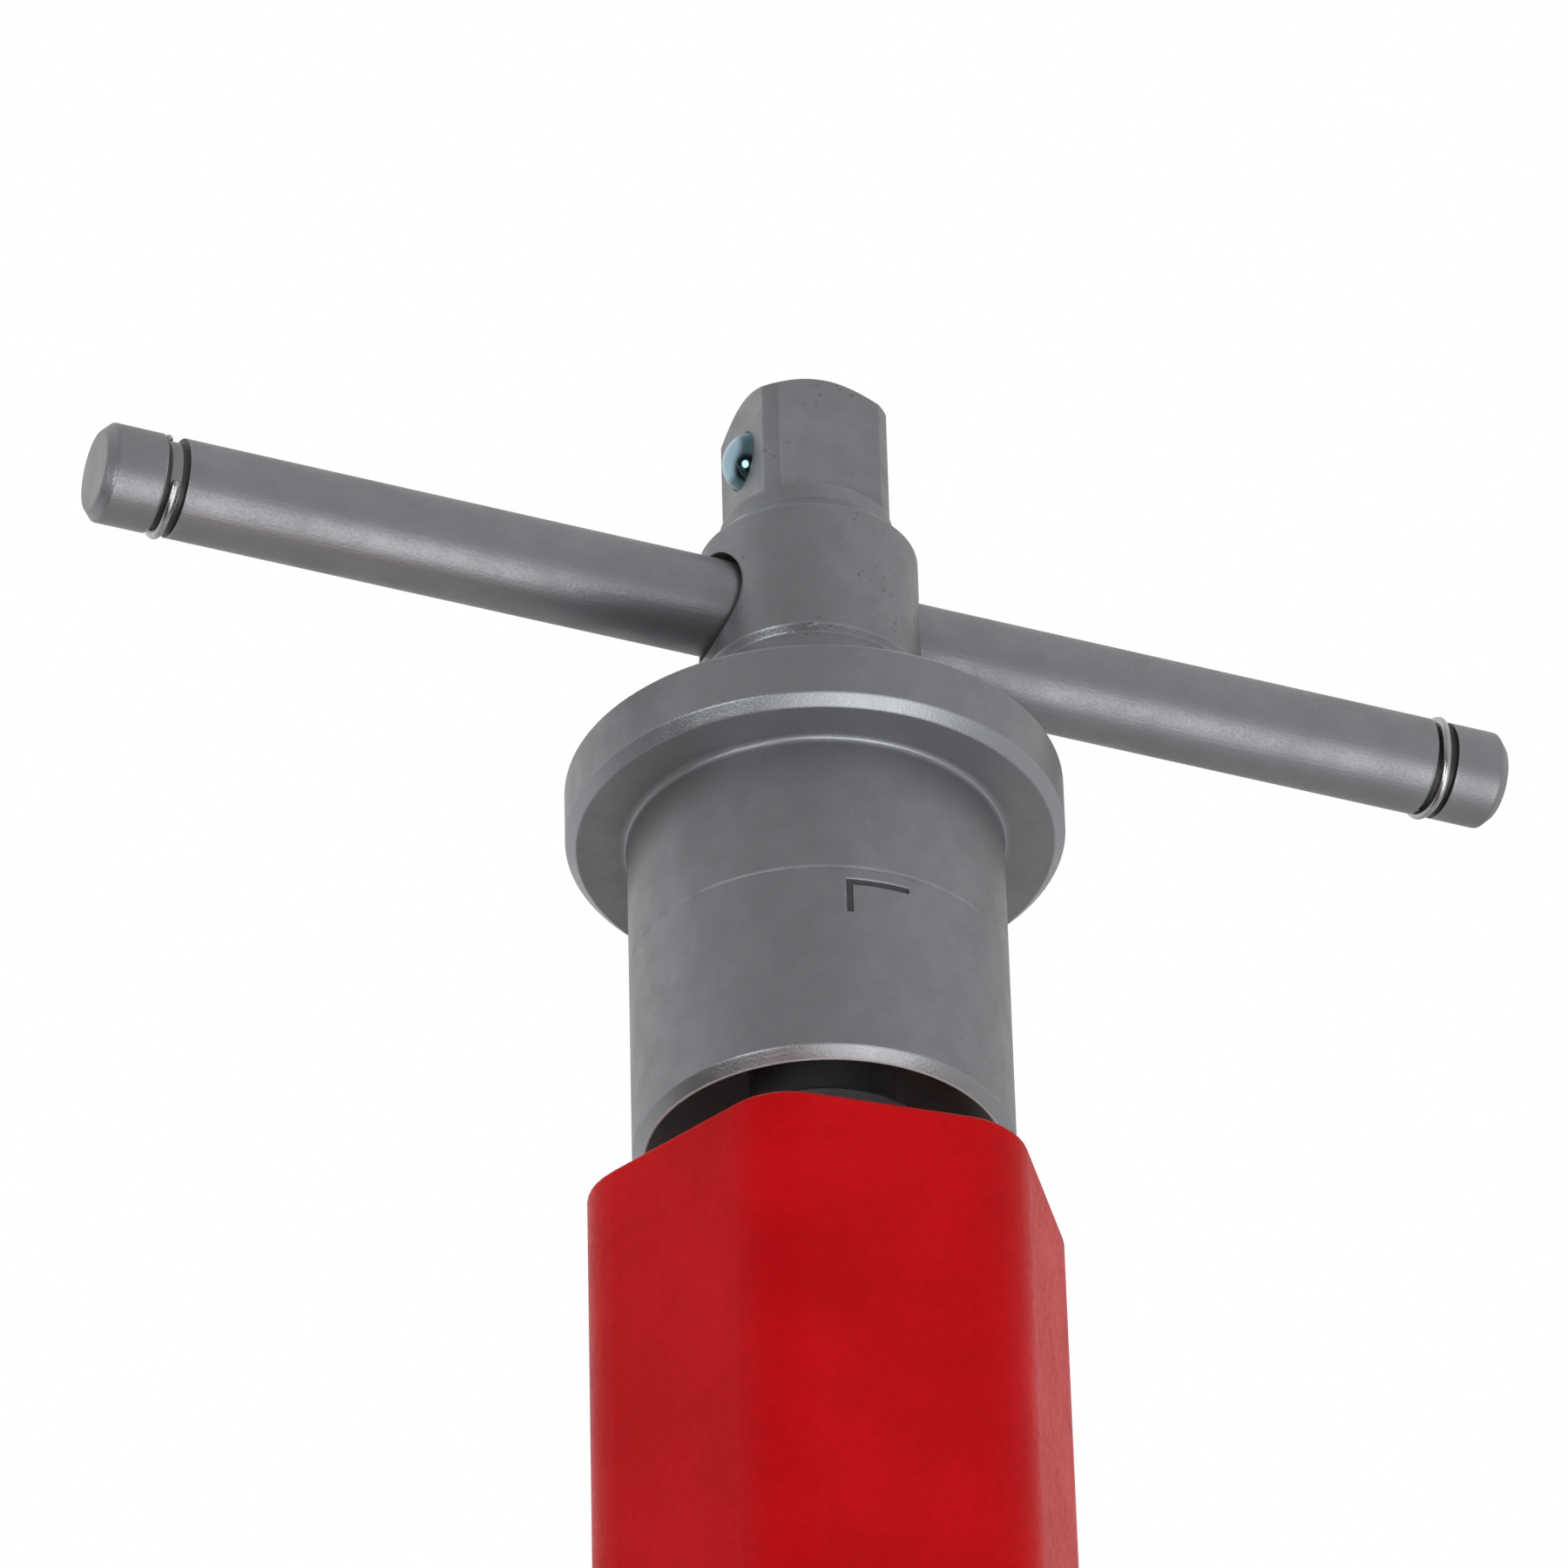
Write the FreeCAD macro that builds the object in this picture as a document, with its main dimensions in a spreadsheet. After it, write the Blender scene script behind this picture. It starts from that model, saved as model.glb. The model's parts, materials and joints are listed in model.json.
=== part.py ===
import FreeCAD, Part
import os
import re

import Sketcher

# Turn-and-drive post driver. +Z is up, and the origin is the centre of the open mouth, which
# the tool stands on. A hexagonal tube drops over the post. A head with a square tang, a
# sliding T-bar and a guard skirt turns in the tube and slams down on a keyed anvil.
# Every dimension is in millimetres, or degrees where its name says so.
DIMENSIONS = {
    # Hexagonal tube
    "tube_length": 400.0,
    "tube_flats": 60.0,
    "tube_corner": 10.5,
    "tube_edge": 0.8,
    "tube_turn_degrees": -5.5,
    "chamber_bore": 26.0,
    "post_bore": 25.0,
    "post_depth": 140.0,
    # Mouth ring and its screws
    "mouth_outer": 27.0,
    "mouth_height": 24.0,
    "mouth_chamfer": 1.2,
    "mouth_screw_height": 12.0,
    "mouth_screw_radius": 3.0,
    "mouth_head_radius": 4.8,
    "mouth_head_depth": 2.2,
    "mouth_hex_flats": 4.0,
    "mouth_head_recess": 0.2,
    "mouth_key_floor": 0.6,
    "mouth_tip_gap": 0.25,
    # Anvil stack
    "plate_height": 10.0,
    "plate_bore": 17.0,
    "stack_gap": 0.3,
    "stack_clearance": 0.05,
    "press_clearance": 0.02,
    "ring_edge": 0.4,
    "bush_height": 28.0,
    "bush_clearance": 0.06,
    "upper_lip": 4.0,
    "lip_bore": 19.5,
    "anvil_radius": 23.0,
    "anvil_edge": 1.0,
    "anvil_length": 101.7,
    "anvil_boss": 16.7,
    "anvil_boss_drop": 3.9,
    "socket_flats": 17.2,
    "socket_depth": 98.0,
    "dog_length": 30.0,
    "dog_width": 9.0,
    "dog_height": 10.0,
    "dog_slot_depth": 4.0,
    "dog_edge": 0.8,
    "dog_screw_radius": 3.0,
    "dog_screw_length": 11.0,
    "dog_thread_depth": 6.0,
    "dog_head_radius": 4.0,
    "dog_head_height": 3.0,
    "dog_head_recess": 0.4,
    "dog_head_clearance": 0.1,
    # Plunger shaft and ram collar
    "shaft_radius": 10.0,
    "shaft_foot": 156.0,
    "hex_flats": 17.0,
    "shaft_edge": 1.0,
    "nose_radius": 19.0,
    "nose_height": 4.2,
    "ram_height": 34.0,
    "ram_edge": 1.5,
    "ram_pin_radius": 3.0,
    "ram_pin_half": 20.0,
    # Gland
    "gland_depth": 26.0,
    "gland_plug_height": 20.0,
    "gland_spigot": 15.3,
    "gland_rise": 11.8,
    "gland_bush_outer": 13.0,
    "gland_bush_length": 31.0,
    "shaft_clearance": 0.06,
    "wiper_height": 5.4,
    "ring_groove_rise": 8.0,
    "ring_groove_half": 1.26,
    "ring_groove_radius": 23.9,
    "ring_wire": 1.05,
    "spigot_edge": 0.5,
    "clip_thickness": 1.8,
    "clip_clearance": 0.1,
    "clip_groove": 27.4,
    "clip_inner": 22.5,
    "clip_lug": 2.2,
    "clip_eye": 1.1,
    "clip_lug_offset": 4.4,
    "clip_gap_half": 2.1,
    "bumper_height": 8.0,
    "bumper_outer": 23.5,
    "bumper_inner": 11.0,
    "bumper_edge": 1.5,
    # Guard skirt and flange
    "skirt_lift": 9.8,
    "skirt_height": 51.7,
    "skirt_radius": 26.0,
    "skirt_bore": 24.25,
    "skirt_chamfer": 1.5,
    "skirt_fillet": 1.0,
    "skirt_web": 4.4,
    "scribe_rise": 30.0,
    "scribe_width": 0.5,
    "scribe_depth": 0.2,
    "mark_rise": 28.4,
    "mark_start_degrees": -104.4,
    "mark_sweep_degrees": 19.9,
    "mark_drop": 5.4,
    "mark_line": 0.95,
    "mark_depth": 0.45,
    "flange_radius": 34.5,
    "flange_height": 9.8,
    "flange_chamfer": 1.5,
    "flange_edge": 0.6,
    "nut_height": 12.0,
    "nut_flats": 30.0,
    "washer_height": 2.5,
    "washer_radius": 19.0,
    "dowel_radius": 1.5,
    "dowel_circle": 12.0,
    "dowel_half": 5.5,
    # Drive head
    "neck_radius": 14.6,
    "neck_height": 17.4,
    "neck_bore_depth": 15.8,
    "hub_radius": 15.5,
    "hub_chamfer": 0.9,
    "hub_height": 20.5,
    "cone_height": 3.8,
    "tang_radius": 12.2,
    "collar_height": 2.3,
    "tang_square": 19.05,
    "tang_length": 20.8,
    "tang_bevel": 3.0,
    "tang_bevel_height": 2.4,
    "head_pin_radius": 2.5,
    "head_pin_height": 6.5,
    # T-bar and its snap rings
    "bar_rise": 10.1,
    "bar_radius": 7.0,
    "bar_length": 211.0,
    "bar_chamfer": 1.4,
    "bar_round": 0.5,
    "bar_hole": 7.08,
    "bar_mouth": 7.95,
    "bar_land": 19.0,
    "groove_inset": 10.0,
    "groove_half": 1.6,
    "groove_radius": 6.2,
    "wire_radius": 0.7,
    "wire_circle": 6.95,
    "wire_sweep_degrees": 267.0,
    "ring_drift": 0.3,
    # Ball detent
    "ball_radius": 4.7,
    "ball_bore": 4.75,
    "ball_inset": 2.05,
    "ball_rise": 10.6,
    "ball_lip": 4.29,
    "ball_lip_depth": 1.1,
    "ball_well": 13.0,
    "detent_wire": 0.4,
    "detent_coil": 3.8,
    "detent_seat": 3.5,
    "detent_turns": 5.0,
    "detent_length": 7.0,
    # Grease nipple
    "nipple_height": 238.0,
    "nipple_thread": 2.5,
    "nipple_stem": 4.0,
    "nipple_base": 1.4,
    "nipple_base_radius": 3.5,
    "nipple_shoulder": 1.9,
    "nipple_waist": 1.8,
    "nipple_neck": 2.3,
    "nipple_head": 2.6,
    "nipple_head_low": 3.0,
    "nipple_head_high": 3.4,
    "nipple_reach": 4.2,
}

TOP = "tube_length"
PLUG_FOOT = f"{TOP} - gland_depth"
PLUG_TOP = f"{PLUG_FOOT} + gland_plug_height"
SPIGOT_TOP = f"{TOP} + gland_rise"
PLATE_TOP = "post_depth + plate_height"
ANVIL_FOOT = f"{PLATE_TOP} + stack_gap"
ANVIL_TOP = f"{ANVIL_FOOT} + anvil_length"
LIP_TOP = f"{ANVIL_TOP} + stack_gap + upper_lip"
RAM_FOOT = f"{ANVIL_TOP} + stack_gap"
RAM_TOP = f"{RAM_FOOT} + nose_height + ram_height"
RIM = f"{TOP} + skirt_lift"
FLANGE_FOOT = f"{RIM} + skirt_height"
FLANGE_TOP = f"{FLANGE_FOOT} + flange_height"
WEB_FOOT = f"{FLANGE_FOOT} - skirt_web"
HUB_FOOT = f"{FLANGE_TOP} + neck_height"
HUB_TOP = f"{HUB_FOOT} + hub_height"
CONE_TOP = f"{HUB_TOP} + cone_height"
FLATS_FOOT = f"{CONE_TOP} + collar_height"
TANG_TOP = f"{FLATS_FOOT} + tang_length"
BAR_AXIS = f"{HUB_FOOT} + bar_rise"
BALL_AXIS = f"{FLATS_FOOT} + ball_rise"
SHAFT_TOP = f"{FLANGE_TOP} + neck_bore_depth - stack_gap"

doc = FreeCAD.newDocument("PostDriver")
sheet = doc.addObject("Spreadsheet::Sheet", "Dims")
for row, (alias, number) in enumerate(DIMENSIONS.items(), start=1):
    sheet.set(f"A{row}", alias)
    sheet.set(f"B{row}", str(number))
    sheet.setAlias(f"B{row}", alias)
doc.recompute()

subparts = []


def bound(text):
    """The expression with the sheet's name in front of each dimension."""
    return re.sub(r"[a-z]+(?:_[a-z]+)+", r"Dims.\g<0>", text)


def value(text):
    """The number that an expression comes to."""
    return float(sheet.evalExpression(bound(text)))


def bind(target, settings):
    """Bind properties of an object to expressions over the sheet."""
    for name, text in settings.items():
        target.setExpression(name, bound(text))


# ---------------------------------------------------------------- sketches


def new_body(label, several=False):
    """A body, or a group of identical loose pieces where several is true."""
    body = doc.addObject("PartDesign::Body", label)
    body.Label = label
    body.AllowCompound = several
    return body


def new_sketch(body, name, plane, offset=None):
    """A sketch on one of the body's origin planes, raised along its normal by offset."""
    sketch = body.newObject("Sketcher::SketchObject", name)
    support = next(item for item in body.Origin.OriginFeatures if item.Role == plane)
    sketch.AttachmentSupport = [(support, "")]
    sketch.MapMode = "FlatFace"
    if offset:
        sketch.AttachmentOffset.Base.z = value(offset)
        bind(sketch, {"AttachmentOffset.Base.z": offset})
    return sketch


def pin_down(sketch, geometry, vertex, across, along):
    """Hold a vertex at a distance from the sketch's origin in both directions."""
    for direction, axis, text in (("DistanceX", -2, across), ("DistanceY", -1, along)):
        distance = value(text)
        if abs(distance) < 1e-9:
            sketch.addConstraint(Sketcher.Constraint("PointOnObject", geometry, vertex, axis))
            continue
        ends = (-1, 1, geometry, vertex) if distance > 0 else (geometry, vertex, -1, 1)
        index = sketch.addConstraint(Sketcher.Constraint(direction, *ends, abs(distance)))
        sign = "" if distance > 0 else "-1 * "
        bind(sketch, {f"Constraints[{index}]": f"{sign}({text})"})


def add_outline(sketch, corners):
    """Closed straight-sided outline through (across, along) corners."""
    first = sketch.GeometryCount
    points = [FreeCAD.Vector(value(across), value(along), 0) for across, along in corners]
    sides = len(points)
    for start, end in zip(points, points[1:] + points[:1]):
        sketch.addGeometry(Part.LineSegment(start, end), False)
    for side in range(sides):
        following = first + (side + 1) % sides
        sketch.addConstraint(Sketcher.Constraint("Coincident", first + side, 2, following, 1))
    for side, (across, along) in enumerate(corners):
        pin_down(sketch, first + side, 1, across, along)


def add_circle(sketch, radius, across="0", along="0"):
    centre = FreeCAD.Vector(value(across), value(along), 0)
    ring = Part.Circle(centre, FreeCAD.Vector(0, 0, 1), value(radius))
    index = sketch.addGeometry(ring, False)
    pin_down(sketch, index, 3, across, along)
    size = sketch.addConstraint(Sketcher.Constraint("Radius", index, value(radius)))
    bind(sketch, {f"Constraints[{size}]": radius})


def add_hexagon(sketch, flats):
    """Regular hexagon with two flats across the sketch's Y axis."""
    half, corner = f"({flats}) / 2", f"({flats}) / sqrt(3)"
    add_outline(sketch, [
        (corner, "0"), (f"{corner} / 2", half), (f"-1 * {corner} / 2", half),
        (f"-1 * {corner}", "0"), (f"-1 * {corner} / 2", f"-1 * {half}"),
        (f"{corner} / 2", f"-1 * {half}"),
    ])


def add_rectangle(sketch, left, right, low, high):
    add_outline(sketch, [(left, low), (right, low), (right, high), (left, high)])


# ---------------------------------------------------------------- features


def turned(label, corners, axis="V_Axis"):
    """A body turned about an axis of its XZ plane from an outline of (radius, height)."""
    body = new_body(label)
    sketch = new_sketch(body, f"{label}_profile", "XZ_Plane")
    add_outline(sketch, corners)
    turning = body.newObject("PartDesign::Revolution", f"{label}_turning")
    turning.Profile = sketch
    turning.ReferenceAxis = (sketch, [axis])
    turning.Angle = 360
    doc.recompute()
    return body


def padded(body, sketch, length):
    pad = body.newObject("PartDesign::Pad", f"{sketch.Name}_pad")
    pad.Profile = sketch
    bind(pad, {"Length": length})
    doc.recompute()
    return pad


def cut(body, sketch, depth=None, away=False):
    """Cut a sketch through the body both ways, or to a depth against or along its normal."""
    before = body.Shape.Volume
    pocket = body.newObject("PartDesign::Pocket", f"{sketch.Name}_cut")
    pocket.Profile = sketch
    if depth:
        pocket.Reversed = away
        bind(pocket, {"Length": depth})
    else:
        pocket.SideType = "Symmetric"
        pocket.Type = "ThroughAll"
    doc.recompute()
    if body.Shape.Volume > before - 1e-3:
        raise RuntimeError(f"{sketch.Name} cuts nothing")
    return pocket


def drilled(body, sketch, axis):
    """Cut away what a sketch sweeps in a full turn about one of its axes."""
    groove = body.newObject("PartDesign::Groove", f"{sketch.Name}_groove")
    groove.Profile = sketch
    groove.ReferenceAxis = (sketch, [axis])
    groove.Angle = 360
    doc.recompute()


def dressed(body, kind, name, size, chosen):
    """Fillet or chamfer the edges of the body's tip that a test picks."""
    feature = body.Tip
    names = [f"Edge{i}" for i, edge in enumerate(feature.Shape.Edges, start=1) if chosen(edge)]
    if not names:
        raise RuntimeError(f"{name} finds no edge")
    dressing = body.newObject(f"PartDesign::{kind}", name)
    dressing.Base = (feature, names)
    bind(dressing, {"Radius" if kind == "Fillet" else "Size": size})
    doc.recompute()


def cross_hole(body, name, plane, radius, along, across="0"):
    """A round hole right through the body, square to its axis."""
    sketch = new_sketch(body, name, plane)
    add_circle(sketch, radius, across, along)
    cut(body, sketch)


def is_ring(edge, radius, height):
    curve = edge.Curve
    if not isinstance(curve, Part.Circle):
        return False
    return abs(curve.Radius - value(radius)) < 0.01 and abs(curve.Center.z - value(height)) < 0.01


def keep(item):
    """Add a finished object to the sub-parts that are written out."""
    subparts.append(item)
    return item


def placed(item, position, axis=(0, 0, 1), degrees=0.0):
    item.Placement = FreeCAD.Placement(
        FreeCAD.Vector(*[value(text) for text in position]),
        FreeCAD.Rotation(FreeCAD.Vector(*axis), degrees))
    for name, text in zip("xyz", position):
        bind(item, {f"Placement.Base.{name}": text})
    return item


def pin(label, radius, half, edge="ring_edge"):
    """A plain pin along X, chamfered at both ends."""
    return turned(label, [
        (f"-1 * ({half})", "0"), (f"-1 * ({half})", f"{radius} - {edge}"),
        (f"-1 * ({half}) + {edge}", radius), (f"{half} - {edge}", radius),
        (half, f"{radius} - {edge}"), (half, "0"),
    ], axis="H_Axis")


# ---------------------------------------------------------------- tube and mouth


def make_tube():
    """Hexagonal tube, bored for the post below and for the moving parts above."""
    body = new_body("hex_tube")
    sketch = new_sketch(body, "tube_section", "XY_Plane")
    add_hexagon(sketch, "tube_flats")
    padded(body, sketch, TOP)

    def upright(edge):
        low, high = (vertex.Point for vertex in edge.Vertexes)
        return abs(high.z - low.z) > value(TOP) / 2

    dressed(body, "Fillet", "tube_corners", "tube_corner", upright)
    dressed(body, "Chamfer", "tube_ends", "tube_edge",
            lambda edge: edge.BoundBox.ZLength < 0.01)
    bore = new_sketch(body, "tube_bore", "XZ_Plane")
    add_outline(bore, [
        ("0", "-1 * tube_edge"), ("mouth_outer", "-1 * tube_edge"),
        ("mouth_outer", "mouth_height"), ("post_bore", "mouth_height"),
        ("post_bore", "post_depth"), ("chamber_bore", "post_depth"), ("chamber_bore", PLUG_TOP),
        ("clip_groove", PLUG_TOP), ("clip_groove", f"{PLUG_TOP} + clip_thickness"),
        ("chamber_bore", f"{PLUG_TOP} + clip_thickness"), ("chamber_bore", f"{TOP} + tube_edge"),
        ("0", f"{TOP} + tube_edge"),
    ])
    drilled(body, bore, "V_Axis")
    cut_mouth_holes(body, "tube", "tube_flats / 2", countersunk=True)
    nipple_hole = new_sketch(body, "nipple_hole", "XZ_Plane")
    add_circle(nipple_hole, "nipple_thread", along="nipple_height")
    cut(body, nipple_hole, depth="tube_flats")
    body.Placement.Rotation = FreeCAD.Rotation(FreeCAD.Vector(0, 0, 1), value("tube_turn_degrees"))
    return keep(body)


def cut_mouth_holes(body, prefix, reach, countersunk=False):
    """Three screw holes round the mouth, square to alternate flats."""
    hole = new_sketch(body, f"{prefix}_screw_hole", "XZ_Plane")
    add_circle(hole, "mouth_screw_radius + stack_clearance", along="mouth_screw_height")
    features = [cut(body, hole, depth=reach, away=True)]
    if countersunk:
        floor = f"{reach} - mouth_head_recess - mouth_head_depth - stack_clearance"
        seat = new_sketch(body, f"{prefix}_screw_seat", "XZ_Plane", offset=floor)
        add_circle(seat, "mouth_head_radius + stack_clearance", along="mouth_screw_height")
        features.append(cut(body, seat, depth="mouth_head_depth + stack_gap", away=True))
    pattern = body.newObject("PartDesign::PolarPattern", f"{prefix}_screw_pattern")
    pattern.Originals = features
    upright = next(item for item in body.Origin.OriginFeatures if item.Role == "Z_Axis")
    pattern.Axis = (upright, [""])
    pattern.Angle = 360
    pattern.Occurrences = 3
    body.Tip = pattern
    doc.recompute()


def make_mouth_ring():
    """Hardened ring pressed in the mouth, with a lead-in for the post."""
    body = turned("mouth_ring", [
        ("post_bore + mouth_chamfer", "0"), ("mouth_outer - stack_clearance", "0"),
        ("mouth_outer - stack_clearance", "mouth_height - stack_clearance"),
        ("post_bore", "mouth_height - stack_clearance"), ("post_bore", "mouth_chamfer"),
    ])
    cut_mouth_holes(body, "ring", "mouth_outer")
    body.Placement.Rotation = FreeCAD.Rotation(FreeCAD.Vector(0, 0, 1), value("tube_turn_degrees"))
    return keep(body)


def make_mouth_screws():
    """Three low-head socket screws that hold the mouth ring."""
    face = "tube_flats / 2 - mouth_head_recess"
    under_head = f"{face} - mouth_head_depth"
    body = new_body("mouth_screws", several=True)
    stem = new_sketch(body, "mouth_screw_stem", "XZ_Plane", offset="post_bore + mouth_tip_gap")
    add_circle(stem, "mouth_screw_radius", along="mouth_screw_height")
    stem_pad = padded(body, stem, f"{under_head} - post_bore - mouth_tip_gap")
    head = new_sketch(body, "mouth_screw_head", "XZ_Plane", offset=under_head)
    add_circle(head, "mouth_head_radius", along="mouth_screw_height")
    head_pad = padded(body, head, "mouth_head_depth")
    key = new_sketch(body, "mouth_screw_key", "XZ_Plane", offset=face)
    half, corner = "mouth_hex_flats / 2", "mouth_hex_flats / sqrt(3)"
    add_outline(key, [
        (f"{across} * {corner}", f"mouth_screw_height + {along} * {half}")
        for across, along in ((1, 0), (0.5, 1), (-0.5, 1), (-1, 0), (-0.5, -1), (0.5, -1))
    ])
    key_cut = cut(body, key, depth="mouth_head_depth - mouth_key_floor")
    pattern = body.newObject("PartDesign::PolarPattern", "mouth_screw_pattern")
    pattern.Originals = [stem_pad, head_pad, key_cut]
    upright = next(item for item in body.Origin.OriginFeatures if item.Role == "Z_Axis")
    pattern.Axis = (upright, [""])
    pattern.Angle = 360
    pattern.Occurrences = 3
    body.Tip = pattern
    doc.recompute()
    body.Placement.Rotation = FreeCAD.Rotation(FreeCAD.Vector(0, 0, 1), value("tube_turn_degrees"))
    return keep(body)


# ---------------------------------------------------------------- anvil stack


def make_ring(label, inner, outer, low, high, edge="ring_edge"):
    """A plain turned ring with small chamfers on its outside."""
    return keep(turned(label, [
        (inner, low), (f"{outer} - {edge}", low), (outer, f"{low} + {edge}"),
        (outer, f"{high} - {edge}"), (f"{outer} - {edge}", high), (inner, high),
    ]))


def make_stack():
    """Strike plate, bushes and the sleeves that space them, from the post seat to the gland."""
    seat = "chamber_bore - stack_clearance"
    bush_foot, bush_bore = PLATE_TOP, "anvil_radius + bush_clearance"
    upper_foot = f"{LIP_TOP} - bush_height - upper_lip"
    sleeve_bore = "anvil_radius + anvil_edge"
    make_ring("strike_plate", "plate_bore", seat, "post_depth", PLATE_TOP)
    make_ring("lower_bush", bush_bore, seat, bush_foot, f"{bush_foot} + bush_height")
    make_ring("bush_spacer", sleeve_bore, seat, f"{bush_foot} + bush_height", upper_foot)
    upper = turned("upper_bush", [
        (bush_bore, upper_foot), (seat, upper_foot), (seat, LIP_TOP), ("lip_bore", LIP_TOP),
        ("lip_bore", f"{LIP_TOP} - upper_lip"), (bush_bore, f"{LIP_TOP} - upper_lip"),
    ])
    grease_way = new_sketch(upper, "grease_way", "XZ_Plane")
    add_circle(grease_way, "nipple_waist", along="nipple_height")
    cut(upper, grease_way, depth="tube_flats")
    upper.Placement.Rotation = FreeCAD.Rotation(FreeCAD.Vector(0, 0, 1), value("tube_turn_degrees"))
    keep(upper)
    make_ring("chamber_sleeve", sleeve_bore, seat, LIP_TOP, PLUG_FOOT)


def make_anvil():
    """Anvil that turns with the head, with a deep hexagonal socket for the plunger shaft."""
    body = turned("rotating_anvil", [
        ("0", f"{ANVIL_FOOT} - anvil_boss_drop"), ("anvil_boss", f"{ANVIL_FOOT} - anvil_boss_drop"),
        ("anvil_boss", ANVIL_FOOT), ("anvil_radius - anvil_edge", ANVIL_FOOT),
        ("anvil_radius", f"{ANVIL_FOOT} + anvil_edge"),
        ("anvil_radius", f"{ANVIL_TOP} - anvil_edge"),
        ("anvil_radius - anvil_edge", ANVIL_TOP), ("0", ANVIL_TOP),
    ])
    socket = new_sketch(body, "anvil_socket", "XY_Plane", offset=ANVIL_TOP)
    add_hexagon(socket, "socket_flats")
    cut(body, socket, depth="socket_depth")
    slot = new_sketch(body, "dog_slot", "XY_Plane", offset=f"{ANVIL_FOOT} - anvil_boss_drop")
    half = "dog_width / 2 + press_clearance"
    add_rectangle(slot, "-1 * anvil_radius", "anvil_radius", f"-1 * ({half})", half)
    cut(body, slot, depth="dog_slot_depth", away=True)
    thread = new_sketch(body, "dog_thread", "XY_Plane", offset=f"{ANVIL_FOOT} - anvil_boss_drop")
    add_circle(thread, "dog_screw_radius + stack_clearance")
    cut(body, thread, depth="dog_thread_depth", away=True)
    return keep(body)


def make_dog():
    """Drive dog: a tongue across the anvil that turns a slotted or pinned post head."""
    foot = f"{ANVIL_FOOT} - anvil_boss_drop + dog_slot_depth - dog_height"
    body = new_body("drive_dog")
    block = new_sketch(body, "dog_block", "XY_Plane", offset=foot)
    add_rectangle(block, "-1 * dog_length / 2", "dog_length / 2",
                  "-1 * dog_width / 2", "dog_width / 2")
    padded(body, block, "dog_height - press_clearance")
    dressed(body, "Chamfer", "dog_edges", "dog_edge",
            lambda edge: edge.BoundBox.ZMax < value(foot) + 0.01)
    bore = new_sketch(body, "dog_bore", "XY_Plane", offset=foot)
    add_circle(bore, "dog_screw_radius + stack_clearance")
    cut(body, bore)
    seat = new_sketch(body, "dog_seat", "XY_Plane", offset=foot)
    add_circle(seat, "dog_head_radius + dog_head_clearance")
    cut(body, seat, depth="dog_head_height + dog_head_recess", away=True)
    keep(body)
    head = f"{foot} + dog_head_recess"
    screw = turned("dog_screw", [
        ("0", head), ("dog_head_radius - ring_edge", head),
        ("dog_head_radius", f"{head} + ring_edge"),
        ("dog_head_radius", f"{head} + dog_head_height"),
        ("dog_screw_radius", f"{head} + dog_head_height"),
        ("dog_screw_radius", f"{head} + dog_screw_length"), ("0", f"{head} + dog_screw_length"),
    ])
    key = new_sketch(screw, "dog_screw_key", "XY_Plane", offset=head)
    add_hexagon(key, "dog_screw_radius * 1.2")
    cut(screw, key, depth="dog_head_height / 2", away=True)
    keep(screw)


# ---------------------------------------------------------------- plunger and gland


def make_shaft():
    """Plunger shaft: round through the gland, hexagonal where it slides in the anvil."""
    body = turned("plunger_shaft", [
        ("0", "shaft_foot"), ("shaft_radius - shaft_edge", "shaft_foot"),
        ("shaft_radius", "shaft_foot + shaft_edge"),
        ("shaft_radius", f"{SHAFT_TOP} - shaft_edge"),
        ("shaft_radius - shaft_edge", SHAFT_TOP), ("0", SHAFT_TOP),
    ])
    flats = new_sketch(body, "shaft_flats", "XY_Plane", offset="shaft_foot")
    add_circle(flats, "shaft_radius + shaft_edge")
    add_hexagon(flats, "hex_flats")
    cut(body, flats, depth=f"{RAM_FOOT} - shaft_foot", away=True)
    cross_hole(body, "shaft_ram_hole", "YZ_Plane", "ram_pin_radius",
               f"{RAM_FOOT} + nose_height + ram_height / 2")
    cross_hole(body, "shaft_head_hole", "XZ_Plane", "head_pin_radius",
               f"{FLANGE_TOP} + head_pin_height")
    return keep(body)


def make_ram():
    """Ram collar that strikes the anvil, and the pin that holds it on the shaft."""
    body_foot = f"{RAM_FOOT} + nose_height"
    bore = "shaft_radius + press_clearance"
    body = turned("ram_collar", [
        (bore, RAM_FOOT), ("nose_radius - shaft_edge", RAM_FOOT),
        ("nose_radius", f"{RAM_FOOT} + shaft_edge"),
        ("nose_radius", f"{body_foot} + stack_gap"),
        ("anvil_radius - ram_edge", f"{body_foot} + stack_gap"),
        ("anvil_radius", f"{body_foot} + stack_gap + ram_edge"),
        ("anvil_radius", f"{RAM_TOP} - ram_edge"), ("anvil_radius - ram_edge", RAM_TOP),
        (bore, RAM_TOP),
    ])
    middle = f"{body_foot} + ram_height / 2"
    cross_hole(body, "ram_hole", "YZ_Plane", "ram_pin_radius", middle)
    keep(body)
    lock = pin("ram_pin", "ram_pin_radius - press_clearance", "ram_pin_half")
    keep(placed(lock, ("0", "0", middle)))


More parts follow.
